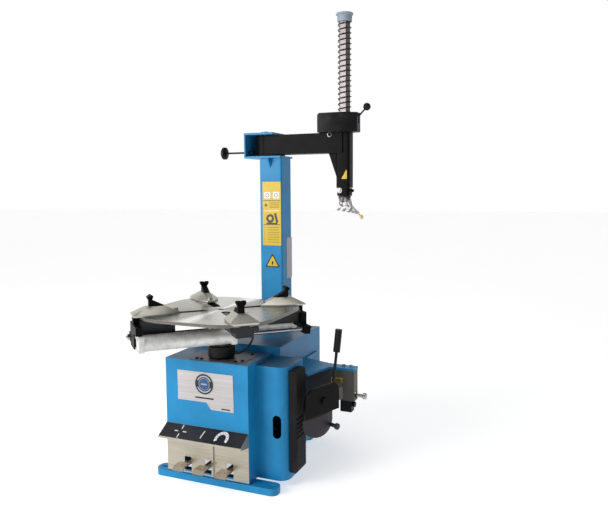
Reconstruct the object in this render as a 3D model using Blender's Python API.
"""Swing-arm tire changer: sheet-metal cabinet, rotating clamp table, spring-loaded tool arm and side bead breaker.

Machine axes: +X to the operator's right, -Y towards the operator, +Z up. Lengths are in metres.
Each moving body has an empty on its joint's axis, and its pieces are parented to that empty.
"""
import math

import bmesh
import bpy
from mathutils import Matrix, Vector

# Clearances
GAP = 0.0003
RUNNING = 0.0005

# Cabinet
SHEET = 0.003
BASE = 0.0263
LEFT = -0.220
FRONT = -0.350
FRONT_RIGHT = 0.126
FRONT_TOP = 0.462
RIGHT = 0.245
RIGHT_FRONT = -0.285
RIGHT_BACK = -0.130
RIGHT_TOP = 0.448
CORNER = 0.040
REAR_RIGHT = 0.160
REAR_FRONT = -0.150
BACK = 0.262
REAR_TOP = 0.487

# Floor rails
RAIL_LEFT = -0.276
RAIL_RIGHT = 0.232
REAR_RAIL_RIGHT = 0.150
RAIL_WIDTH = 0.060
RAIL_TOP = BASE - GAP
RAIL_FRONT_Y = -0.326
RAIL_REAR_Y = 0.200

# Pedals
PEDAL_X = (-0.1295, -0.044, 0.048)
PEDAL_NAMES = ("clamp", "breaker", "table")
PEDAL_SHAFT_Y = -0.210
PEDAL_SHAFT_Z = 0.075
PEDAL_SHAFT_R = 0.008
SLOT_WIDTH = 0.029
SLOT_LOW = 0.035
SLOT_HIGH = 0.092
HOOD_TOP = 0.2145
HOOD_REACH = 0.0595
HOOD_DROP = 0.034

# Column, head and swing arm
COLUMN_X = -0.019
COLUMN_Y = 0.205
COLUMN_SIDE = 0.103
COLUMN_TOP = 1.215
ARM_X = -0.065
ARM_Y = 0.205
HEAD_LOW = COLUMN_TOP + GAP
HEAD_PLATE = 0.008
HEAD_HIGH = 1.3217
BEAM_LOW = 1.230
BEAM_HIGH = 1.312
BEAM_HALF = 0.037

# Tool shaft
SHAFT_X = 0.2955
SHAFT_Y = 0.205
HEX_FLATS = 0.041
SHAFT_LOW = 1.055
SHAFT_HIGH = 1.7502
CAP_HIGH = 1.785
CAP_R = 0.035
SLEEVE_HALF = 0.029
SLEEVE_LOW = 1.088
COVER_LOW = BEAM_HIGH + 0.0008
COVER_HIGH = 1.3905
LEVER_X = 0.337
LEVER_Z = 1.3570
SPRING_R = 0.0255
WIRE_R = 0.0015
SPRING_COILS = 17

# Turntable
TABLE_X = -0.022
TABLE_Y = -0.274
PLATE_HALF = 0.258
PLATE_CORNER = 0.160
PLATE_TOP = 0.643
PLATE_BOTTOM = 0.631
JAW_ANGLES = {"a": 225.0, "b": 135.0, "c": 315.0, "d": 45.0}
GUIDE_HALF = 0.016
TABLE_SHAFT_R = 0.028
SHOE_LOW = 0.6170
SHOE_HIGH = PLATE_BOTTOM - RUNNING
SLIDE_END = 0.322
RAMP_TOP = PLATE_TOP + 0.031
CYLINDER_Z = 0.556
CYLINDER_R = 0.030
CYLINDER_SIDE = 0.065
CLAMP_ROD_R = 0.007

# Rack and pinion that keep the four jaws together
MODULE = 0.0025
PINION_TEETH = 28
PITCH_R = MODULE * PINION_TEETH / 2
RACK_PITCH = math.pi * MODULE
RACK_TEETH = 19
RACK_LEVELS = {"a": 0.6075, "d": 0.6075, "b": 0.5970, "c": 0.5970}

RACK_HEIGHT = 0.0092

# Keels under the slides' shoes, drawn along +X: a long one where a slide carries a cylinder
CLAMP_KEEL = ((0.1760, -0.0310, 0.5750), (0.2990, 0.0310, SHOE_LOW + 0.0010))
SHORT_KEEL = ((0.2400, -0.0300, 0.5970), (0.2990, 0.0300, SHOE_LOW + 0.0010))

# Drive
WORM_WHEEL_R = 0.055
WORM_R = 0.016
WORM_Y = TABLE_Y + WORM_WHEEL_R + WORM_R + RUNNING
WORM_Z = 0.372
PULLEY_X = 0.070
PULLEY_WIDTH = 0.018
WORM_PULLEY_R = 0.045
MOTOR_PULLEY_R = 0.022
MOTOR_Y = -0.020
MOTOR_Z = 0.115
MOTOR_R = 0.058

# Bead breaker
PAD_X = (RIGHT + GAP, 0.277)
PAD_Y = (-0.262, -0.180)
PAD_Z = (0.055, 0.432)
HINGE_X = 0.300
HINGE_Y = 0.178
HINGE_PIN_R = 0.012
HINGE_HIGH = 0.322
BREAKER_LOW = 0.258
BREAKER_HIGH = 0.380
BREAKER_WALL = 0.006
ROD_Y = 0.024
ROD_Z = 0.278
CYLINDER_PIVOT_X = -0.165
BREAKER_CYLINDER_R = 0.062
BREAKER_ROD_R = 0.010
BLADE_X = 0.339
BLADE_Y = -0.1895
BLADE_TURN = 69.0
BLADE_HALF = 0.078
BLADE_SHIFT = 0.012
BLADE_BOW = 0.010
BLADE_OUTER = 0.0112
BLADE_THICK = 0.005
BAR_OUTER = -0.0055
BAR_INNER = 0.0105
CARRIER_OUTER = -0.0160
BOLT_Z = 0.316

LOOKS = {
    "blue_paint": ((0.03, 0.27, 0.62), 0.0, 0.35),
    "black_paint": ((0.012, 0.012, 0.014), 0.0, 0.40),
    "grey_paint": ((0.10, 0.09, 0.09), 0.0, 0.45),
    "stainless": ((0.62, 0.60, 0.57), 1.0, 0.32),
    "machined": ((0.55, 0.54, 0.52), 1.0, 0.28),
    "zinc": ((0.66, 0.68, 0.70), 1.0, 0.30),
    "chrome": ((0.80, 0.80, 0.82), 1.0, 0.12),
    "black_rubber": ((0.02, 0.02, 0.02), 0.0, 0.80),
    "black_plastic": ((0.02, 0.02, 0.022), 0.0, 0.50),
    "cast_iron": ((0.16, 0.16, 0.17), 0.6, 0.60),
    "spring_steel": ((0.20, 0.15, 0.14), 0.8, 0.40),
    "amber_plastic": ((0.75, 0.62, 0.22), 0.0, 0.40),
    "plate_silver": ((0.80, 0.80, 0.80), 0.6, 0.35),
    "cap_grey": ((0.22, 0.27, 0.33), 0.5, 0.40),
}

PIVOTS = {}


def clear_scene():
    for obj in list(bpy.data.objects):
        bpy.data.objects.remove(obj, do_unlink=True)


def look(name):
    """The named Principled material, made once."""
    found = bpy.data.materials.get(name)
    if found:
        return found
    colour, metallic, roughness = LOOKS[name]
    made = bpy.data.materials.new(name)
    made.use_nodes = True
    shader = made.node_tree.nodes["Principled BSDF"]
    shader.inputs["Base Color"].default_value = (*colour, 1.0)
    shader.inputs["Metallic"].default_value = metallic
    shader.inputs["Roughness"].default_value = roughness
    made.diffuse_color = (*colour, 1.0)
    return made


# ---------------------------------------------------------------- shapes


def shape_of(bm):
    """A scene object that holds this bmesh, with its faces pointing out."""
    bmesh.ops.recalc_face_normals(bm, faces=bm.faces)
    mesh = bpy.data.meshes.new("shape")
    bm.to_mesh(mesh)
    bm.free()
    obj = bpy.data.objects.new("shape", mesh)
    bpy.context.scene.collection.objects.link(obj)
    return obj


def prism(outline, axis, low, high):
    """An outline (u, v) extruded along an axis. It lies in YZ for x, XZ for y and XY for z."""
    place = {
        "x": lambda u, v, w: (w, u, v),
        "y": lambda u, v, w: (u, w, v),
        "z": lambda u, v, w: (u, v, w),
    }[axis]
    bm = bmesh.new()
    ends = [[bm.verts.new(place(u, v, w)) for u, v in outline] for w in (low, high)]
    for end in ends:
        bm.faces.new(end)
    count = len(outline)
    for i in range(count):
        j = (i + 1) % count
        bm.faces.new((ends[0][i], ends[0][j], ends[1][j], ends[1][i]))
    return shape_of(bm)


def hull(points):
    """The convex solid around some points."""
    bm = bmesh.new()
    for point in points:
        bm.verts.new(point)
    bmesh.ops.convex_hull(bm, input=bm.verts)
    bmesh.ops.delete(bm, geom=[v for v in bm.verts if not v.link_faces], context="VERTS")
    return shape_of(bm)


def rectangle(low, high):
    (u0, v0), (u1, v1) = low, high
    return [(u0, v0), (u1, v0), (u1, v1), (u0, v1)]


def block(low, high):
    return prism(rectangle(low[:2], high[:2]), "z", low[2], high[2])


def arc(centre, radius, start, end, steps):
    """Points along an arc, its angles in degrees."""
    turns = [math.radians(start + (end - start) * k / steps) for k in range(steps + 1)]
    return [(centre[0] + radius * math.cos(t), centre[1] + radius * math.sin(t)) for t in turns]


def rounded(low, high, radius, steps=4):
    """A rectangle with four round corners."""
    (u0, v0), (u1, v1) = low, high
    centres = (
        ((u1 - radius, v0 + radius), -90),
        ((u1 - radius, v1 - radius), 0),
        ((u0 + radius, v1 - radius), 90),
        ((u0 + radius, v0 + radius), 180),
    )
    points = []
    for centre, start in centres:
        points += arc(centre, radius, start, start + 90, steps)
    return points


def circle(centre, radius, sides, turn=0.0):
    return arc(centre, radius, turn, turn + 360 * (1 - 1 / sides), sides - 1)


def disc(centre, radius, axis, low, high, sides=20, turn=0.0):
    return prism(circle(centre, radius, sides, turn), axis, low, high)


def turned(profile, centre, axis, sides=20):
    """A turned solid. The profile is (radius, height) points; a ring's profile closes on itself."""
    frame = {"x": (1, 2, 0), "y": (0, 2, 1), "z": (0, 1, 2)}[axis]
    bm = bmesh.new()
    rings = []
    for radius, height in profile:
        ring = []
        for k in range(sides if radius > 0 else 1):
            point = [0.0, 0.0, 0.0]
            point[frame[0]] = centre[0] + radius * math.cos(math.tau * k / sides)
            point[frame[1]] = centre[1] + radius * math.sin(math.tau * k / sides)
            point[frame[2]] = height
            ring.append(bm.verts.new(point))
        rings.append(ring)
    if all(radius > 0 for radius, _ in profile):
        rings.append(rings[0])
    for first, second in zip(rings, rings[1:]):
        for k in range(sides):
            m = (k + 1) % sides
            corners = [first[k % len(first)], first[m % len(first)]]
            corners += [second[m % len(second)], second[k % len(second)]]
            corners = list(dict.fromkeys(corners))
            bm.faces.new(corners)
    return shape_of(bm)


def tube(points, radius, sides=6):
    """A round bar along a path, with closed ends."""
    bm = bmesh.new()
    points = [Vector(p) for p in points]
    normal = None
    rings = []
    for i, point in enumerate(points):
        ahead = points[min(i + 1, len(points) - 1)] - points[max(i - 1, 0)]
        ahead.normalize()
        if normal is None:
            normal = ahead.orthogonal().normalized()
        normal = (normal - ahead * normal.dot(ahead)).normalized()
        side = ahead.cross(normal)
        ring = []
        for k in range(sides):
            turn = math.tau * k / sides
            ring.append(bm.verts.new(point + radius * (math.cos(turn) * normal + math.sin(turn) * side)))
        rings.append(ring)
    for first, second in zip(rings, rings[1:]):
        for k in range(sides):
            m = (k + 1) % sides
            bm.faces.new((first[k], first[m], second[m], second[k]))
    bm.faces.new(rings[0])
    bm.faces.new(rings[-1])
    return shape_of(bm)


def combine(base, others, operation):
    """The Boolean of some shapes, which replaces them."""
    for other in others:
        modifier = base.modifiers.new("Boolean", "BOOLEAN")
        modifier.operation = operation
        modifier.solver = "EXACT"
        modifier.object = other
    graph = bpy.context.evaluated_depsgraph_get()
    mesh = bpy.data.meshes.new_from_object(base.evaluated_get(graph))
    base.modifiers.clear()
    base.data = mesh
    for other in others:
        bpy.data.objects.remove(other)
    return base


def joined(base, *others):
    return combine(base, others, "UNION")


def cut(base, *cutters):
    return combine(base, cutters, "DIFFERENCE")


def moved(shape, matrix):
    """The shape with its points moved."""
    shape.data.transform(matrix)
    return shape


# ---------------------------------------------------------------- bodies and pieces


def body(name, pivot, parent=None):
    """An empty on a joint's axis. The pivot is given in the machine's axes."""
    empty = bpy.data.objects.new(name + "_pivot", None)
    bpy.context.scene.collection.objects.link(empty)
    empty.parent = parent
    PIVOTS[empty.name] = Vector(pivot)
    empty.location = Vector(pivot) - (PIVOTS[parent.name] if parent else Vector())
    return empty


def piece(name, shape, look_name, owner, smooth=32.0):
    """Names a shape, gives it its material and hangs it on its body."""
    shape.name = name
    shape.data.name = name
    shape.data.transform(Matrix.Translation(-PIVOTS[owner.name]))
    shape.parent = owner
    shape.data.materials.clear()
    shape.data.materials.append(look(look_name))
    shape.data.shade_smooth()
    shape.data.set_sharp_from_angle(angle=math.radians(smooth))
    return shape


# ---------------------------------------------------------------- cabinet


def right_section(inset, low):
    """The lower section at the right, with one large round corner."""
    radius = CORNER - inset
    outline = [(0.05, RIGHT_FRONT + inset)]
    outline += arc((RIGHT - CORNER, RIGHT_FRONT + CORNER), radius, -90, 0, 6)
    outline += [(RIGHT - inset, RIGHT_BACK - inset), (0.05, RIGHT_BACK - inset)]
    return prism(outline, "z", low, RIGHT_TOP - inset)


def cabinet_volume(inset, low):
    front = block((LEFT + inset, FRONT + inset, low), (FRONT_RIGHT - inset, -0.10, FRONT_TOP - inset))
    rear = block(
        (LEFT + inset, REAR_FRONT + inset, low), (REAR_RIGHT - inset, BACK - inset, REAR_TOP - inset)
    )
    return joined(front, right_section(inset, low), rear)


def cylinder_bracket():
    """The clevis and pin on the left wall that hold the breaker cylinder's rear end."""
    ears = []
    for low in (ROD_Z - 0.022, ROD_Z + 0.016):
        ears.append(block((LEFT + 0.001, ROD_Y - 0.02, low), (CYLINDER_PIVOT_X + 0.014, ROD_Y + 0.02, low + 0.006)))
    pin = disc((CYLINDER_PIVOT_X, ROD_Y), 0.008, "z", ROD_Z - 0.020, ROD_Z + 0.020, 12)
    return joined(ears[0], ears[1], pin)


def build_cabinet(root):
    shell = cut(cabinet_volume(0.0, BASE), cabinet_volume(SHEET, BASE + SHEET))
    cutters = [
        block((-0.190, -0.330, BASE - 0.01), (0.100, -0.110, BASE + 0.01)),
        block((-0.195, FRONT - 0.01, 0.040), (0.105, FRONT + 0.01, 0.190)),
        block((LEFT - 0.01, -0.290, 0.080), (LEFT + 0.01, -0.030, 0.400)),
        block((REAR_RIGHT - 0.01, 0.006, 0.254), (REAR_RIGHT + 0.01, 0.096, 0.302)),
        disc((TABLE_X, TABLE_Y), 0.046, "z", FRONT_TOP - 0.01, FRONT_TOP + 0.01, 24),
        prism(rounded((0.190, 0.184), (0.222, 0.270), 0.0155), "y", RIGHT_FRONT - 0.01, RIGHT_FRONT + 0.01),
    ]
    shell = joined(cut(shell, *cutters), cylinder_bracket())
    piece("cabinet", shell, "blue_paint", root)

    cover = prism(rounded((-0.310, 0.060), (-0.010, 0.420), 0.012, 3), "x", LEFT - 0.0023, LEFT - GAP)
    piece("side_cover", cover, "blue_paint", root)
    inset = 0.028
    front = floor_rail(RAIL_FRONT_Y, RAIL_RIGHT, (RAIL_LEFT + inset, RAIL_RIGHT - inset))
    piece("front_rail", front, "blue_paint", root)
    rear = floor_rail(RAIL_REAR_Y, REAR_RAIL_RIGHT, (RAIL_LEFT + inset,))
    piece("rear_rail", rear, "blue_paint", root)

    plate = [(-0.167, 0.421), (0.066, 0.421), (0.068, 0.284), (-0.026, 0.284), (-0.045, 0.309), (-0.167, 0.309)]
    piece("name_plate", prism(plate, "y", FRONT - 0.0015, FRONT - GAP), "plate_silver", root)


def floor_rail(y, right, slot_places):
    """A foot rail with round ends, hollow from below, with slotted holes for floor bolts."""
    half = RAIL_WIDTH / 2
    wall = 0.004
    rail = prism(rounded((RAIL_LEFT, y - half), (right, y + half), 0.024), "z", 0.0, RAIL_TOP)
    low = (RAIL_LEFT + wall, y - half + wall)
    high = (right - wall, y + half - wall)
    hollow = prism(rounded(low, high, 0.020), "z", -0.01, RAIL_TOP - wall)
    slots = []
    for x in slot_places:
        slots.append(prism(rounded((x - 0.014, y - 0.007), (x + 0.014, y + 0.007), 0.0065, 3), "z", -0.01, 0.05))
    return cut(rail, hollow, *slots)


def build_pedal_panel(root):
    """The stainless panel, whose top folds forward into a hood over the pedals."""
    back = FRONT - GAP
    face = back - 0.0012
    lip = FRONT - HOOD_REACH
    low = HOOD_TOP - HOOD_DROP
    fold = [
        (back, 0.030),
        (back, HOOD_TOP),
        (lip, low),
        (lip, low - 0.006),
        (lip + 0.0015, low - 0.006),
        (lip + 0.0015, low - 0.0008),
        (face, HOOD_TOP - 0.0020),
        (face, 0.030),
    ]
    panel = prism(fold, "x", LEFT + 0.0005, FRONT_RIGHT - 0.0005)
    cheek = [(back, 0.162), (back, HOOD_TOP - 0.0005), (lip + 0.0005, low - 0.0005), (lip + 0.0005, low - 0.006)]
    cheeks = [prism(cheek, "x", x, x + 0.0015) for x in (LEFT + 0.0005, FRONT_RIGHT - 0.002)]
    strut = block((-0.0255, face - 0.0050, 0.032), (-0.0185, back - 0.0003, 0.190))
    panel = joined(panel, strut, *cheeks)
    slots = []
    for x in PEDAL_X:
        half = SLOT_WIDTH / 2
        slots.append(block((x - half, FRONT - 0.01, SLOT_LOW), (x + half, FRONT + 0.01, SLOT_HIGH)))
    piece("pedal_panel", cut(panel, *slots), "stainless", root)

    shaft = disc((PEDAL_SHAFT_Y, PEDAL_SHAFT_Z), PEDAL_SHAFT_R, "x", LEFT + SHEET + GAP, RIGHT - SHEET - GAP, 16)
    piece("pedal_shaft", shaft, "zinc", root)


def pedal(x):
    """A hub on the shared shaft, a lever through its slot and a foot tread."""
    centre = (PEDAL_SHAFT_Y, PEDAL_SHAFT_Z)
    hub = disc(centre, 0.016, "x", x - 0.012, x + 0.012, 16)
    lever = block((x - 0.006, -0.400, 0.060), (x + 0.006, PEDAL_SHAFT_Y - 0.004, 0.078))
    tread = [(-0.424, 0.064), (-0.424, 0.067), (-0.412, 0.0785), (-0.372, 0.0785), (-0.372, 0.0740), (-0.410, 0.0740)]
    tread_shape = prism(tread, "x", x - 0.023, x + 0.023)
    bore = disc(centre, PEDAL_SHAFT_R + GAP, "x", x - 0.02, x + 0.02, 16)
    return cut(joined(hub, lever, tread_shape), bore)


def build_pedals(root):
    for name, x in zip(PEDAL_NAMES, PEDAL_X):
        owner = body(name + "_pedal", (x, PEDAL_SHAFT_Y, PEDAL_SHAFT_Z), root)
        piece(name + "_pedal", pedal(x), "stainless", owner)


# ---------------------------------------------------------------- drive inside the cabinet


def build_drive(root):
    centre = (TABLE_X, TABLE_Y)
    housing = joined(
        disc(centre, WORM_WHEEL_R + 0.010, "z", 0.345, FRONT_TOP - SHEET - GAP, 24),
        block((TABLE_X - 0.062, TABLE_Y, 0.345), (TABLE_X + 0.062, WORM_Y + 0.026, FRONT_TOP - SHEET - GAP)),
    )
    cavity = joined(
        disc(centre, WORM_WHEEL_R + 0.004, "z", 0.300, 0.398, 24),
        block((TABLE_X - 0.054, TABLE_Y, 0.300), (TABLE_X + 0.054, WORM_Y + 0.019, 0.398)),
    )
    bearings = disc((WORM_Y, WORM_Z), 0.0083, "x", TABLE_X - 0.10, TABLE_X + 0.10, 16)
    bore = disc(centre, TABLE_SHAFT_R + RUNNING, "z", 0.30, 0.50, 24)
    piece("gearbox_housing", cut(housing, cavity, bearings, bore), "cast_iron", root)

    worm = body("worm", (TABLE_X, WORM_Y, WORM_Z), root)
    groove = (PULLEY_X + PULLEY_WIDTH / 2, WORM_PULLEY_R - 0.010)
    profile = [(0, TABLE_X - 0.060), (0.008, TABLE_X - 0.060), (0.008, TABLE_X - 0.036)]
    for k in range(5):
        start = TABLE_X - 0.036 + 0.0144 * k
        profile += [(WORM_R - 0.004, start), (WORM_R, start + 0.005), (WORM_R, start + 0.009)]
    profile += [(WORM_R - 0.004, TABLE_X + 0.036), (0.008, TABLE_X + 0.036), (0.008, PULLEY_X)]
    profile += [(WORM_PULLEY_R, PULLEY_X), (groove[1], groove[0] - 0.002), (groove[1], groove[0] + 0.002)]
    profile += [(WORM_PULLEY_R, PULLEY_X + PULLEY_WIDTH), (0, PULLEY_X + PULLEY_WIDTH)]
    piece("worm_shaft", turned(profile, (WORM_Y, WORM_Z), "x", 20), "cast_iron", worm)

    shell = disc((MOTOR_Y, MOTOR_Z), MOTOR_R, "x", -0.160, 0.035, 28)
    boss = disc((MOTOR_Y, MOTOR_Z), 0.030, "x", 0.030, 0.045, 16)
    feet = block((-0.130, MOTOR_Y - 0.055, BASE + SHEET + GAP), (0.005, MOTOR_Y + 0.055, 0.080))
    terminal_box = block((-0.110, MOTOR_Y - 0.030, 0.150), (-0.020, MOTOR_Y + 0.030, 0.192))
    bore = disc((MOTOR_Y, MOTOR_Z), 0.0083, "x", -0.02, 0.06, 16)
    piece("drive_motor", cut(joined(shell, boss, feet, terminal_box), bore), "grey_paint", root)

    motor = body("motor_pulley", (PULLEY_X, MOTOR_Y, MOTOR_Z), root)
    middle = PULLEY_X + PULLEY_WIDTH / 2
    profile = [(0, -0.015), (0.008, -0.015), (0.008, PULLEY_X), (MOTOR_PULLEY_R, PULLEY_X)]
    profile += [(MOTOR_PULLEY_R - 0.010, middle - 0.002), (MOTOR_PULLEY_R - 0.010, middle + 0.002)]
    profile += [(MOTOR_PULLEY_R, PULLEY_X + PULLEY_WIDTH), (0, PULLEY_X + PULLEY_WIDTH)]
    piece("motor_pulley", turned(profile, (MOTOR_Y, MOTOR_Z), "x", 20), "cast_iron", motor)
    piece("drive_belt", drive_belt(), "black_rubber", root)


def drive_belt():
    """A V-belt round both pulleys, in the plane between their flanges."""
    low = Vector((MOTOR_Y, MOTOR_Z))
    high = Vector((WORM_Y, WORM_Z))
    along = high - low
    tilt = math.degrees(math.atan2(along.y, along.x))
    middle = PULLEY_X + PULLEY_WIDTH / 2

    def loop(offset):
        small = MOTOR_PULLEY_R + offset
        large = WORM_PULLEY_R + offset
        lean = math.degrees(math.acos((large - small) / along.length))
        start = arc(low, small, tilt + lean, tilt + 360 - lean, 10)
        return start + arc(high, large, tilt - lean, tilt + lean, 10)

    band = prism(loop(0.0022), "x", middle - 0.0028, middle + 0.0028)
    return cut(band, prism(loop(-0.0035), "x", middle - 0.01, middle + 0.01))


# ---------------------------------------------------------------- turntable


def plate_shape():
    centre = (TABLE_X, TABLE_Y)
    outline = rounded(
        (centre[0] - PLATE_HALF, centre[1] - PLATE_HALF),
        (centre[0] + PLATE_HALF, centre[1] + PLATE_HALF),
        PLATE_CORNER,
        8,
    )
    plate = prism(outline, "z", PLATE_BOTTOM, PLATE_TOP)
    slots = []
    for angle in JAW_ANGLES.values():
        slot = rounded((0.050, -GUIDE_HALF), (0.400, GUIDE_HALF), GUIDE_HALF - 0.0002, 4)
        slots.append(moved(prism(slot, "z", PLATE_BOTTOM - 0.01, PLATE_TOP + 0.01), table_turn(angle)))
    centre_bolt = disc(centre, 0.012, "z", PLATE_BOTTOM - 0.01, PLATE_TOP + 0.01, 16)
    return cut(plate, centre_bolt, *slots)


def table_turn(angle):
    """Turns a shape drawn along +X at the origin to a direction on the table."""
    return Matrix.Translation((TABLE_X, TABLE_Y, 0)) @ Matrix.Rotation(math.radians(angle), 4, "Z")


def worm_wheel():
    """A ring of straight teeth on the table shaft."""
    teeth = 36
    points = []
    for k in range(teeth):
        for turn, radius in ((-0.30, -0.004), (-0.16, 0.0), (0.16, 0.0), (0.30, -0.004)):
            angle = math.tau * (k + turn) / teeth
            points.append(
                (
                    TABLE_X + (WORM_WHEEL_R + radius) * math.cos(angle),
                    TABLE_Y + (WORM_WHEEL_R + radius) * math.sin(angle),
                )
            )
    wheel = prism(points, "z", WORM_Z - 0.010, WORM_Z + 0.010)
    return cut(wheel, disc((TABLE_X, TABLE_Y), TABLE_SHAFT_R + GAP, "z", 0.3, 0.5, 24))


def sync_pinion():
    """The wide pinion that all four racks meet. A tooth points across every rack."""
    thick = (0.0017, 0.0009, 0.0026)
    points = []
    for k in range(PINION_TEETH):
        middle = math.tau * k / PINION_TEETH + math.radians(JAW_ANGLES["a"] + 90)
        radii = (PITCH_R - 1.1 * MODULE, PITCH_R, PITCH_R + 0.9 * MODULE)
        halves = (thick[2] / radii[0], thick[0] / radii[1], thick[1] / radii[2])
        for side in (-1, 1):
            order = (0, 1, 2) if side < 0 else (2, 1, 0)
            for i in order:
                angle = middle + side * halves[i]
                points.append((TABLE_X + radii[i] * math.cos(angle), TABLE_Y + radii[i] * math.sin(angle)))
    gear = prism(points, "z", RACK_LEVELS["b"], SHOE_LOW - GAP)
    return cut(gear, disc((TABLE_X, TABLE_Y), TABLE_SHAFT_R + RUNNING, "z", 0.58, 0.63, 24))


def rack(letter):
    """A toothed bar beside the jaw's centre line, with a gap between teeth over the table's centre."""
    tip = PITCH_R - 0.9 * MODULE
    root_line = PITCH_R + 1.1 * MODULE
    first = -2
    points = [((first - 0.4) * RACK_PITCH, root_line)]
    for k in range(first, first + RACK_TEETH):
        middle = (k + 0.5) * RACK_PITCH
        points += [
            (middle - 0.0026, root_line),
            (middle - 0.0009, tip),
            (middle + 0.0009, tip),
            (middle + 0.0026, root_line),
        ]
    points += [(0.215, root_line), (0.215, 0.050), ((first - 0.4) * RACK_PITCH, 0.050)]
    low = RACK_LEVELS[letter]
    bar = prism(points, "z", low, low + RACK_HEIGHT)
    if low + RACK_HEIGHT < SHOE_LOW - 0.001:
        bar = joined(bar, block((0.186, root_line, low), (0.215, 0.050, SHOE_LOW - GAP)))
    return moved(bar, table_turn(JAW_ANGLES[letter]))


def slide_shape(angle, keel):
    """A wedge-shaped cover over the slot, a neck through it and a shoe under the plate, deepened by a keel."""
    low = PLATE_TOP + RUNNING
    edge = low + 0.006
    guide = GUIDE_HALF - RUNNING
    foot = [(0.154, 0.012), (0.210, 0.045), (0.300, 0.050), (SLIDE_END, 0.042)]
    corners = [(u, side * v, z) for u, v in foot for side in (-1, 1) for z in (low, edge)]
    corners += [(u, v, RAMP_TOP) for u in (0.206, 0.274) for v in (-0.014, 0.014)]
    shape = joined(
        hull(corners),
        block((0.182, -guide, SHOE_LOW + 0.004), (0.299, guide, low + 0.004)),
        block((0.176, -0.049, SHOE_LOW), (0.299, 0.049, SHOE_HIGH)),
        block(*keel),
        disc((0.165, 0.0), 0.0075, "z", low + 0.004, edge + 0.013, 8),
    )
    return moved(shape, table_turn(angle))


def jaw_shape(angle):
    """A hardened jaw: a sloping toe towards the middle and a post with a notched, flared head."""
    base = RAMP_TOP + GAP
    side = [
        (0.208, base),
        (0.263, base),
        (0.263, base + 0.022),
        (0.269, base + 0.029),
        (0.266, base + 0.034),
        (0.256, base + 0.041),
        (0.247, base + 0.036),
        (0.251, base + 0.022),
    ]
    waist = 0.011
    front = [(-0.012, base), (0.012, base), (waist, base + 0.022), (0.0175, base + 0.034), (0.0175, base + 0.050)]
    front += [(0.004, base + 0.050), (0.0, base + 0.033), (-0.004, base + 0.050)]
    front += [(-0.0175, base + 0.050), (-0.0175, base + 0.034), (-waist, base + 0.022)]
    jaw = combine(prism(side, "y", -0.0175, 0.0175), [prism(front, "x", 0.20, 0.28)], "INTERSECT")
    return moved(jaw, table_turn(angle))


def clamp_cylinder(angle):
    """A tube with a bolted square cap outside and a rod gland inside. It runs beside the centre line."""
    centre = (CYLINDER_SIDE, CYLINDER_Z)
    half = CYLINDER_R
    face = SLIDE_END - 0.008
    barrel = disc(centre, half - 0.001, "x", -0.028, 0.300, 28)
    caps = []
    for start, end in ((-0.034, -0.016), (face - 0.020, face)):
        outline = rounded((centre[0] - half, centre[1] - half), (centre[0] + half, centre[1] + half), 0.009, 2)
        caps.append(prism(outline, "x", start, end))
    bolts = []
    for side in (-1, 1):
        for up in (-1, 1):
            place = (centre[0] + side * 0.020, centre[1] + up * 0.020)
            bolts.append(disc(place, 0.0045, "x", face - 0.002, face + 0.004, 6))
    hollow = disc(centre, 0.0245, "x", -0.011, 0.286, 24)
    gland = disc(centre, CLAMP_ROD_R + GAP, "x", -0.05, 0.0, 16)
    return moved(cut(joined(barrel, *caps, *bolts), hollow, gland), table_turn(angle))


def clamp_rod(angle):
    """The piston rod of the cylinder that the opposite jaw carries."""
    profile = [(0, -0.298), (CLAMP_ROD_R, -0.298), (CLAMP_ROD_R, 0.0), (0.024, 0.0), (0.024, 0.016), (0, 0.016)]
    rod = turned(profile, (0, 0), "x", 16)
    nut = disc((0, 0), 0.012, "x", -SLIDE_END - 0.0095, -SLIDE_END - GAP, 6)
    stud = disc((0, 0), 0.005, "x", -SLIDE_END - 0.014, -0.290, 12)
    shape = joined(rod, stud, nut)
    return moved(shape, table_turn(angle) @ Matrix.Translation((0, CYLINDER_SIDE, CYLINDER_Z)))


def end_block(angle, low):
    """The black block at a slide's outer end. It carries one cylinder and the other one's rod."""
    inner = 0.2993
    side = CYLINDER_SIDE - CYLINDER_R - GAP
    guide = GUIDE_HALF - RUNNING
    shape = joined(
        block((inner, -0.050, low), (SLIDE_END, side, SHOE_LOW - GAP)),
        block((inner, 0.020, CYLINDER_Z + CYLINDER_R + GAP), (SLIDE_END, 0.088, SHOE_LOW - GAP)),
        block((inner, -0.088, CYLINDER_Z - 0.016), (SLIDE_END, -0.040, CYLINDER_Z + 0.016)),
        block((inner, -guide, SHOE_LOW - 0.005), (SLIDE_END - 0.002, guide, PLATE_TOP + RUNNING - GAP)),
    )
    hole = disc((-CYLINDER_SIDE, CYLINDER_Z), 0.0055, "x", 0.28, 0.36, 12)
    return moved(cut(shape, hole), table_turn(angle))


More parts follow.
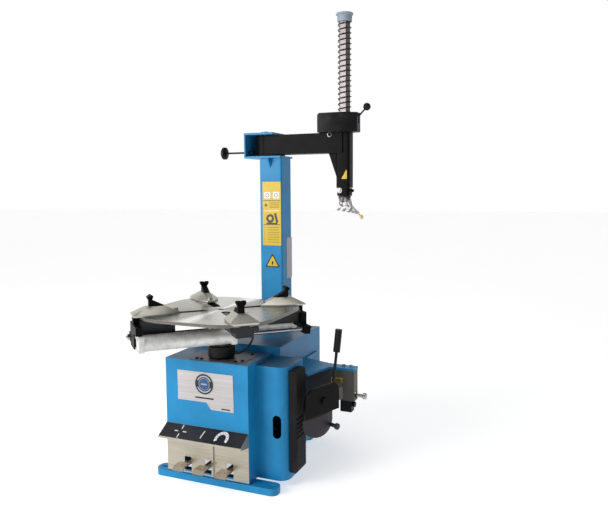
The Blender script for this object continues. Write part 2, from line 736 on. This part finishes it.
def build_table(root):
    centre = (TABLE_X, TABLE_Y)
    table = body("table", (*centre, PLATE_TOP), root)
    profile = [(0, 0.350), (TABLE_SHAFT_R, 0.350), (TABLE_SHAFT_R, SHOE_LOW + GAP), (0.048, SHOE_LOW + GAP)]
    profile += [(0.048, PLATE_BOTTOM - GAP), (0, PLATE_BOTTOM - GAP)]
    piece("table_shaft", turned(profile, centre, "z", 24), "machined", table)
    piece("worm_wheel", worm_wheel(), "machined", table)
    piece("table_plate", plate_shape(), "stainless", table)
    union = [(TABLE_SHAFT_R + GAP, 0.4640), (0.044, 0.4640), (0.050, 0.4700), (0.050, 0.5080)]
    union += [(0.046, 0.5120), (TABLE_SHAFT_R + GAP, 0.5120)]
    piece("rotary_union", turned(union, centre, "z", 24), "black_plastic", table)
    piece("air_hose", air_hose(), "black_rubber", table)

    pinion = body("sync_pinion", (*centre, RACK_LEVELS["b"]), table)
    piece("sync_pinion", sync_pinion(), "machined", pinion)
    for letter, angle in JAW_ANGLES.items():
        start = table_turn(angle) @ Vector((0.25, 0, PLATE_TOP))
        jaw = body("jaw_" + letter, start, table)
        keel = CLAMP_KEEL if letter in "ad" else SHORT_KEEL
        piece("slide_" + letter, slide_shape(angle, keel), "machined", jaw)
        piece("jaw_" + letter, jaw_shape(angle), "black_paint", jaw)
        piece("rack_" + letter, rack(letter), "machined", jaw)
        if letter in "ad":
            side = {"a": "front", "d": "rear"}[letter]
            other = {"a": "rear", "d": "front"}[letter]
            low = {"a": 0.530, "d": 0.556}[letter]
            piece("end_block_" + letter, end_block(angle, low), "black_paint", jaw)
            piece("clamp_cylinder_" + side, clamp_cylinder(angle), "machined", jaw)
            opposite = JAW_ANGLES["d" if letter == "a" else "a"]
            piece("clamp_rod_" + other, clamp_rod(opposite), "chrome", jaw)


def air_hose():
    """A short hose from the rotary union, round in a loop and up to a fitting under the plate."""
    knots = [
        Vector((0.051, 0.000, 0.490)),
        Vector((0.078, 0.004, 0.488)),
        Vector((0.112, 0.010, 0.508)),
        Vector((0.140, 0.012, 0.545)),
        Vector((0.146, 0.008, 0.585)),
        Vector((0.144, 0.004, PLATE_BOTTOM - 0.0005)),
    ]
    points = []
    ends = [2 * knots[0] - knots[1], *knots, 2 * knots[-1] - knots[-2]]
    for a, b, c, d in zip(ends, ends[1:], ends[2:], ends[3:]):
        for k in range(4):
            t = k / 4
            points.append(0.5 * (2 * b + (c - a) * t + (2 * a - 5 * b + 4 * c - d) * t**2 + (3 * b - a - 3 * c + d) * t**3))
    points.append(knots[-1])
    turn = table_turn(JAW_ANGLES["c"] + 32)
    return tube([turn @ p for p in points], 0.004, 8)


# ---------------------------------------------------------------- column and swing arm


def build_column(root):
    half = COLUMN_SIDE / 2
    outer = rounded((COLUMN_X - half, COLUMN_Y - half), (COLUMN_X + half, COLUMN_Y + half), 0.008, 2)
    inner = half - 0.005
    low = REAR_TOP + GAP
    post = prism(outer, "z", low, COLUMN_TOP)
    foot = prism(
        rounded((COLUMN_X - 0.085, COLUMN_Y - 0.080), (COLUMN_X + 0.085, BACK - 0.003), 0.010, 2), "z", low, low + 0.012
    )
    rib = [(COLUMN_Y - half + 0.002, COLUMN_TOP), (COLUMN_Y - half - 0.028, COLUMN_TOP), (COLUMN_Y - half + 0.002, 1.172)]
    rib_shape = prism(rib, "x", COLUMN_X - 0.003, COLUMN_X + 0.003)
    bore = block((COLUMN_X - inner, COLUMN_Y - inner, low - 0.1), (COLUMN_X + inner, COLUMN_Y + inner, COLUMN_TOP + 0.1))
    holes = []
    for dx in (-0.070, 0.070):
        for y in (COLUMN_Y - 0.067, COLUMN_Y + 0.041):
            holes.append(disc((COLUMN_X + dx, y), 0.006, "z", low - 0.01, low + 0.02, 12))
    piece("column", cut(joined(post, foot, rib_shape), bore, *holes), "blue_paint", root)

    plates = joined(
        block((-0.135, 0.140, HEAD_LOW), (COLUMN_X + half, 0.270, HEAD_LOW + HEAD_PLATE)),
        block((-0.135, 0.140, HEAD_HIGH - HEAD_PLATE), (-0.002, 0.270, HEAD_HIGH)),
        block((-0.135, 0.140, HEAD_LOW), (-0.129, 0.270, HEAD_HIGH)),
        block((-0.135, 0.264, HEAD_LOW), (-0.002, 0.270, HEAD_HIGH)),
    )
    pin_hole = disc((ARM_X, ARM_Y), 0.0123, "z", HEAD_LOW - 0.01, HEAD_HIGH + 0.01, 16)
    screw_hole = disc((0.168, 1.2405), 0.0043, "x", -0.15, -0.12, 12)
    piece("column_head", cut(plates, pin_hole, screw_hole), "blue_paint", root)

    pin = [(0, HEAD_LOW + 0.001), (0.012, HEAD_LOW + 0.001), (0.012, HEAD_HIGH + GAP), (0.018, HEAD_HIGH + GAP)]
    pin += [(0.018, HEAD_HIGH + 0.006), (0.015, HEAD_HIGH + 0.008), (0, HEAD_HIGH + 0.008)]
    piece("arm_pin", turned(pin, (ARM_X, ARM_Y), "z", 16), "zinc", root)

    screw = body("limit_screw", (-0.233, 0.168, 1.2405), root)
    knob = [(0, -0.2535), (0.021, -0.2535), (0.0268, -0.2495), (0.0268, -0.2385), (0.013, -0.232), (0.004, -0.231)]
    knob += [(0.004, -0.106), (0, -0.106)]
    piece("limit_screw", turned(knob, (0.168, 1.2405), "x", 14), "black_plastic", screw)


def arm_shape():
    barrel = disc((ARM_X, ARM_Y), BEAM_HALF, "z", HEAD_LOW + HEAD_PLATE + GAP, HEAD_HIGH - HEAD_PLATE - GAP, 24)
    beam = block((ARM_X, ARM_Y - BEAM_HALF + 0.002, BEAM_LOW), (SHAFT_X, ARM_Y + BEAM_HALF - 0.002, BEAM_HIGH))
    sleeve_outline = rounded(
        (SHAFT_X - SLEEVE_HALF, SHAFT_Y - SLEEVE_HALF), (SHAFT_X + SLEEVE_HALF, SHAFT_Y + SLEEVE_HALF), 0.010, 3
    )
    sleeve = prism(sleeve_outline, "z", SLEEVE_LOW, BEAM_HIGH)
    gusset = [(0.232, BEAM_LOW + 0.002), (SHAFT_X, BEAM_LOW + 0.002), (SHAFT_X, 1.133), (SHAFT_X - SLEEVE_HALF, 1.133)]
    web = prism(gusset, "y", SHAFT_Y - 0.020, SHAFT_Y + 0.020)
    half_bore = 0.0245
    bore = block(
        (SHAFT_X - half_bore, SHAFT_Y - half_bore, 1.0), (SHAFT_X + half_bore, SHAFT_Y + half_bore, 1.4)
    )
    pin_bore = disc((ARM_X, ARM_Y), 0.0123, "z", 1.2, 1.4, 16)
    return cut(joined(barrel, beam, sleeve, web), bore, pin_bore)


def lock_cover():
    """The moulded cover over the shaft lock, with cut-off front and back corners."""
    outline = [
        (0.196, 0.150),
        (0.296, 0.150),
        (0.3555, 0.184),
        (0.3555, 0.226),
        (0.296, 0.260),
        (0.196, 0.260),
    ]
    cover = prism(outline, "z", COVER_LOW, COVER_HIGH)
    slope = prism([(0.190, COVER_HIGH + 0.001), (0.190, 1.376), (0.204, COVER_HIGH + 0.001)], "y", 0.10, 0.30)
    bore = disc((SHAFT_X, SHAFT_Y), 0.0245, "z", 1.2, 1.5, 24)
    lever_slot = block((LEVER_X - 0.0085, SHAFT_Y - 0.006, LEVER_Z - 0.009), (0.36, SHAFT_Y + 0.006, 1.5))
    pin_bore = disc((LEVER_X, LEVER_Z), 0.0033, "y", SHAFT_Y - 0.012, SHAFT_Y + 0.012, 12)
    return cut(cover, slope, bore, lever_slot, pin_bore)


def build_arm(root):
    arm = body("swing_arm", (ARM_X, ARM_Y, BEAM_LOW), root)
    piece("swing_arm", arm_shape(), "black_paint", arm)
    piece("lock_cover", lock_cover(), "black_plastic", arm)
    piece("return_spring", return_spring(), "spring_steel", arm)

    lever = body("lock_lever", (LEVER_X, SHAFT_Y, LEVER_Z), arm)
    piece("lock_lever", lock_lever(), "black_plastic", lever)

    shaft = body("tool_shaft", (SHAFT_X, SHAFT_Y, SHAFT_HIGH), arm)
    centre = (SHAFT_X, SHAFT_Y)
    corner_r = HEX_FLATS / math.sqrt(3)
    piece("hex_shaft", disc(centre, corner_r, "z", SHAFT_LOW, SHAFT_HIGH, 6), "chrome", shaft)
    waist = CAP_R - 0.005
    cap = [(0, SHAFT_HIGH + GAP), (waist - 0.0015, SHAFT_HIGH + GAP), (waist, SHAFT_HIGH + 0.003)]
    cap += [(waist, CAP_HIGH - 0.009), (CAP_R, CAP_HIGH - 0.007), (CAP_R, CAP_HIGH - 0.0015)]
    cap += [(CAP_R - 0.0015, CAP_HIGH), (0, CAP_HIGH)]
    piece("shaft_cap", turned(cap, centre, "z", 24), "cap_grey", shaft)
    piece("mount_head", mount_head(), "chrome", shaft)
    insert = [(0.0600, 0.9800), (0.0740, 0.9760), (0.0800, 0.9680), (0.0760, 0.9600), (0.0700, 0.9600), (0.0700, 0.9675)]
    insert_shape = prism([(SHAFT_X + u, z) for u, z in insert], "y", SHAFT_Y - 0.008, SHAFT_Y + 0.008)
    piece("head_insert", insert_shape, "amber_plastic", shaft)


def lock_lever():
    """A ball-ended lever whose hub turns on a cross pin in the cover's slot."""
    ball_r = 0.0155
    ball_z = 1.4115
    stick = tube([(LEVER_X, SHAFT_Y, LEVER_Z), (0.3880, SHAFT_Y, 1.4090)], 0.0035, 8)
    profile = []
    for k in range(9):
        angle = math.pi * k / 8
        profile.append((ball_r * math.sin(angle) if 0 < k < 8 else 0, ball_z - ball_r * math.cos(angle)))
    ball = turned(profile, (0.3900, SHAFT_Y), "z", 14)
    hub = disc((LEVER_X, LEVER_Z), 0.0070, "y", SHAFT_Y - 0.0055, SHAFT_Y + 0.0055, 16)
    pin = disc((LEVER_X, LEVER_Z), 0.0030, "y", SHAFT_Y - 0.011, SHAFT_Y + 0.011, 12)
    return joined(hub, stick, ball, pin)


def mount_head():
    """The duck-bill head: a collar on the shaft's foot and a curved bill that points outwards."""
    centre = (SHAFT_X, SHAFT_Y)
    collar = turned(
        [(0, 1.0300), (0.024, 1.0300), (0.026, 1.0340), (0.026, SHAFT_LOW - GAP), (0, SHAFT_LOW - GAP)], centre, "z", 20
    )
    bill = [
        (-0.022, 1.0400),
        (0.022, 1.0400),
        (0.026, 1.0200),
        (0.040, 1.0020),
        (0.058, 0.9880),
        (0.0575, 0.9800),
        (0.030, 0.9860),
        (0.006, 0.9910),
        (-0.022, 0.9930),
        (-0.030, 0.9980),
        (-0.016, 1.0120),
    ]
    bill_shape = prism([(SHAFT_X + u, z) for u, z in bill], "y", SHAFT_Y - 0.019, SHAFT_Y + 0.019)
    return joined(collar, bill_shape)


def return_spring():
    """A compression spring round the shaft, between the lock cover and the cap."""
    low = COVER_HIGH + WIRE_R + GAP
    high = SHAFT_HIGH - WIRE_R
    per_turn = 12
    steps = SPRING_COILS * per_turn
    points = []
    for k in range(steps + 1):
        angle = math.tau * k / per_turn
        height = low + (high - low) * k / steps
        points.append((SHAFT_X + SPRING_R * math.cos(angle), SHAFT_Y + SPRING_R * math.sin(angle), height))
    return tube(points, WIRE_R, 5)


# ---------------------------------------------------------------- bead breaker


def bead_pad():
    """The ribbed rubber pad on the right wall."""
    low, high = PAD_Z
    inner, outer = PAD_X
    outline = [(inner, low), (outer - 0.006, low), (outer, low + 0.008)]
    for k in range(5):
        z = 0.190 + 0.017 * k
        outline += [(outer, z - 0.003), (outer - 0.004, z), (outer, z + 0.003)]
    outline += [(outer, high - 0.008), (outer - 0.006, high), (inner, high)]
    return prism(outline, "y", *PAD_Y)


def build_breaker(root):
    piece("bead_pad", bead_pad(), "black_rubber", root)
    piece("breaker_hinge_bracket", hinge_bracket(), "blue_paint", root)
    pin = [(0, 0.242), (HINGE_PIN_R, 0.242), (HINGE_PIN_R, HINGE_HIGH + 0.0088), (0.017, HINGE_HIGH + 0.0088)]
    pin += [(0.017, HINGE_HIGH + 0.0150), (0.014, HINGE_HIGH + 0.0165), (0, HINGE_HIGH + 0.0165)]
    piece("breaker_hinge_pin", turned(pin, (HINGE_X, HINGE_Y), "z", 16), "zinc", root)

    arm = body("breaker_arm", (HINGE_X, HINGE_Y, BREAKER_LOW), root)
    piece("breaker_arm", breaker_arm(), "grey_paint", arm)
    blade = body("breaker_blade", blade_turn() @ Vector((0, 0, BOLT_Z)), arm)
    piece("blade_carrier", blade_carrier(), "black_paint", blade)
    piece("breaker_blade", breaker_blade(), "grey_paint", blade)
    piece("breaker_handle", breaker_handle(), "black_plastic", blade)

    pivot = (CYLINDER_PIVOT_X, ROD_Y, ROD_Z)
    cylinder = body("breaker_cylinder", pivot, root)
    piece("breaker_cylinder", breaker_cylinder(), "machined", cylinder)
    rod = body("breaker_rod", (0.10, ROD_Y, ROD_Z), cylinder)
    thin = 0.007
    profile = [(0, 0.030), (0.056, 0.030), (0.056, 0.045), (BREAKER_ROD_R, 0.045), (BREAKER_ROD_R, 0.300)]
    profile += [(thin, 0.300), (thin, 0.434), (0.0125, 0.434), (0.0125, 0.446), (thin, 0.449), (0, 0.449)]
    piece("breaker_rod", turned(profile, (ROD_Y, ROD_Z), "x", 16), "chrome", rod)


def hinge_bracket():
    """The cover plate over the arm and the two hinge ears, on a backing plate fixed to the rear wall."""
    wall = REAR_RIGHT + GAP
    top = BREAKER_HIGH + 0.009
    cover = [(wall, RIGHT_BACK + GAP), (0.264, RIGHT_BACK + GAP), (0.304, -0.004), (0.406, 0.000), (0.406, 0.046)]
    cover += [(0.300, 0.046), (wall, 0.090)]
    ear = [(wall, 0.138), (0.312, 0.138), (0.330, 0.156), (0.330, 0.196), (0.312, 0.214), (wall, 0.214)]
    plates = joined(
        block((wall, RIGHT_BACK + GAP, HINGE_HIGH - 0.030), (wall + 0.008, 0.214, top)),
        prism(cover, "z", BREAKER_HIGH + GAP, top),
        block((wall, 0.138, BREAKER_LOW - 0.009), (wall + 0.008, 0.214, HINGE_HIGH)),
        prism(ear, "z", HINGE_HIGH + GAP, HINGE_HIGH + 0.0085),
        prism(ear, "z", BREAKER_LOW - 0.009, BREAKER_LOW - GAP),
        disc((0.352, 0.030), 0.007, "z", top - 0.001, top + 0.006, 6),
        disc((0.382, 0.030), 0.007, "z", top - 0.001, top + 0.006, 6),
    )
    bore = disc((HINGE_X, HINGE_Y), HINGE_PIN_R + GAP, "z", 0.20, 0.45, 16)
    return cut(plates, bore)


def breaker_arm():
    """A front wall with a box at its end, two link plates back to the hinge tube and a bar to the blade."""
    wall = BREAKER_WALL
    left, right = 0.275, 0.405
    front, back = 0.002, 0.044
    wall_left = 0.200
    link = [(left, front), (right, front), (right, back), (0.345, 0.118), (0.326, 0.182), (0.300, 0.204)]
    link += [(0.276, 0.190), (0.270, 0.120), (0.264, 0.030)]
    eye = (HINGE_X, HINGE_Y)
    rod_hole = block((right - 0.02, ROD_Y - 0.0165, ROD_Z - 0.0125), (right + 0.02, back - 0.004, ROD_Z + 0.0125))
    plates = joined(
        block((wall_left, front, BREAKER_LOW), (right, front + wall, BREAKER_HIGH)),
        block((right - wall, front, BREAKER_LOW), (right, back, BREAKER_HIGH)),
        block((left, front, BREAKER_HIGH - wall), (right, back, BREAKER_HIGH)),
        prism(link, "z", BREAKER_LOW, BREAKER_LOW + wall),
        prism(link, "z", HINGE_HIGH - wall, HINGE_HIGH),
        disc(eye, 0.024, "z", BREAKER_LOW, HINGE_HIGH, 20),
        block((0.346, 0.006, 0.212), (0.392, 0.040, BREAKER_LOW + 0.003)),
        disc((0.023, 0.241), 0.011, "x", 0.390, 0.403, 12),
        blade_bar(),
    )
    bore = disc(eye, HINGE_PIN_R + GAP, "z", 0.20, 0.45, 16)
    return cut(plates, rod_hole, bore)


def blade_bar():
    """The bar from the box's front wall to the blade's bolt. It runs between the carrier and the blade."""
    bend = 0.118
    end = -0.030
    bar = [(0.314, 0.004), (0.350, 0.004)]
    corners = ((bend, BAR_OUTER), (end, BAR_OUTER), (end, BAR_INNER), (bend, BAR_INNER))
    bar += [tuple(blade_turn() @ Vector((u, v, 0)))[:2] for u, v in corners]
    bolt_bore = moved(disc((0, BOLT_Z), 0.0084, "y", -0.02, 0.03, 16), blade_turn())
    return cut(prism(bar, "z", BOLT_Z - 0.022, BOLT_Z + 0.022), bolt_bore)


def blade_turn():
    """Places a shape drawn with its chord along +X and its outer side to -Y onto the blade's plane."""
    return Matrix.Translation((BLADE_X, BLADE_Y, 0)) @ Matrix.Rotation(math.radians(BLADE_TURN), 4, "Z")


def breaker_blade():
    """A bowed steel blade with a round lower edge, cut from a curved plate."""
    half = BLADE_HALF
    middle = BLADE_SHIFT
    steps = 10
    outer = []
    for k in range(steps + 1):
        u = -half + 2 * half * k / steps
        outer.append((middle + u, BLADE_OUTER + BLADE_BOW * (u / half) ** 2))
    inner = [(u, v + BLADE_THICK) for u, v in reversed(outer)]
    plate = prism(outer + inner, "z", 0.100, 0.420)
    low = 0.220
    drop = 0.050
    high = 0.318
    silhouette = []
    for k in range(13):
        turn = math.pi * (1 + k / 12)
        silhouette.append((middle + half * math.cos(turn), low + drop * math.sin(turn)))
    silhouette += arc((middle + half - 0.028, high), 0.028, 0, 80, 3)
    silhouette += arc((middle - half + 0.028, high), 0.028, 100, 180, 3)
    keep = prism(silhouette, "y", -0.06, 0.06)
    bolt_hole = disc((0, BOLT_Z), 0.0083, "y", -0.06, 0.06, 16)
    stop_at = (middle + half - 0.016, 0.200)
    blade = joined(
        cut(combine(plate, [keep], "INTERSECT"), bolt_hole),
        disc(stop_at, 0.0075, "y", -0.012, BLADE_OUTER + BLADE_BOW, 12),
        disc(stop_at, 0.0120, "y", -0.020, -0.011, 12),
    )
    return moved(blade, blade_turn())


def blade_carrier():
    """The black carrier on the blade's outer side, domed at the top, with the pivot bolt through it."""
    half = 0.086
    shoulder = 0.334
    outline = [(-half, 0.268), (half, 0.268)]
    outline += arc((half - 0.038, shoulder), 0.038, 0, 80, 4)
    outline += arc((-half + 0.038, shoulder), 0.038, 100, 180, 4)
    slab = prism(outline, "y", CARRIER_OUTER, BAR_OUTER - RUNNING)
    bolt = disc((0, BOLT_Z), 0.008, "y", CARRIER_OUTER + 0.002, 0.0285, 16)
    nut = disc((0, BOLT_Z), 0.014, "y", BLADE_OUTER + BLADE_THICK + 0.0016, 0.0265, 6)
    head = disc((0, BOLT_Z), 0.014, "y", CARRIER_OUTER - 0.007, CARRIER_OUTER + 0.002, 6)
    return moved(joined(slab, bolt, nut, head), blade_turn())


def breaker_handle():
    """The upright handle on the carrier, with its round grip."""
    start = blade_turn() @ Vector((0.060, (CARRIER_OUTER + BAR_OUTER) / 2, 0.3745))
    top = Vector((0.3890, -0.130, 0.570))
    grip_low = start.lerp(top, 0.57)
    bar = tube([start, top], 0.0055, 10)
    grip = tube([grip_low, grip_low.lerp(top, 0.06), grip_low.lerp(top, 0.9), top], 0.0130, 12)
    return joined(bar, grip)


def breaker_cylinder():
    centre = (ROD_Y, ROD_Z)
    barrel = disc(centre, BREAKER_CYLINDER_R, "x", -0.130, 0.142, 28)
    lug = block((CYLINDER_PIVOT_X - 0.014, ROD_Y - 0.014, ROD_Z - 0.0155), (-0.125, ROD_Y + 0.014, ROD_Z + 0.0155))
    hollow = disc(centre, 0.0565, "x", -0.122, 0.132, 28)
    gland = disc(centre, BREAKER_ROD_R + GAP, "x", 0.12, 0.16, 16)
    bore = disc((CYLINDER_PIVOT_X, ROD_Y), 0.0083, "z", ROD_Z - 0.03, ROD_Z + 0.03, 12)
    return cut(joined(barrel, lug), hollow, gland, bore)


# ---------------------------------------------------------------- whole machine


def centre_on_footprint(root):
    """Puts the origin under the middle of the whole machine's box."""
    bpy.context.view_layer.update()
    corners = []
    for obj in bpy.context.scene.objects:
        if obj.type == "MESH":
            corners += [obj.matrix_world @ vertex.co for vertex in obj.data.vertices]
    for axis in (0, 1):
        values = [corner[axis] for corner in corners]
        root.location[axis] -= (min(values) + max(values)) / 2
    bpy.context.view_layer.update()


def main():
    clear_scene()
    root = body("machine", (0, 0, 0))
    build_cabinet(root)
    build_pedal_panel(root)
    build_pedals(root)
    build_drive(root)
    build_table(root)
    build_column(root)
    build_arm(root)
    build_breaker(root)
    centre_on_footprint(root)


main()
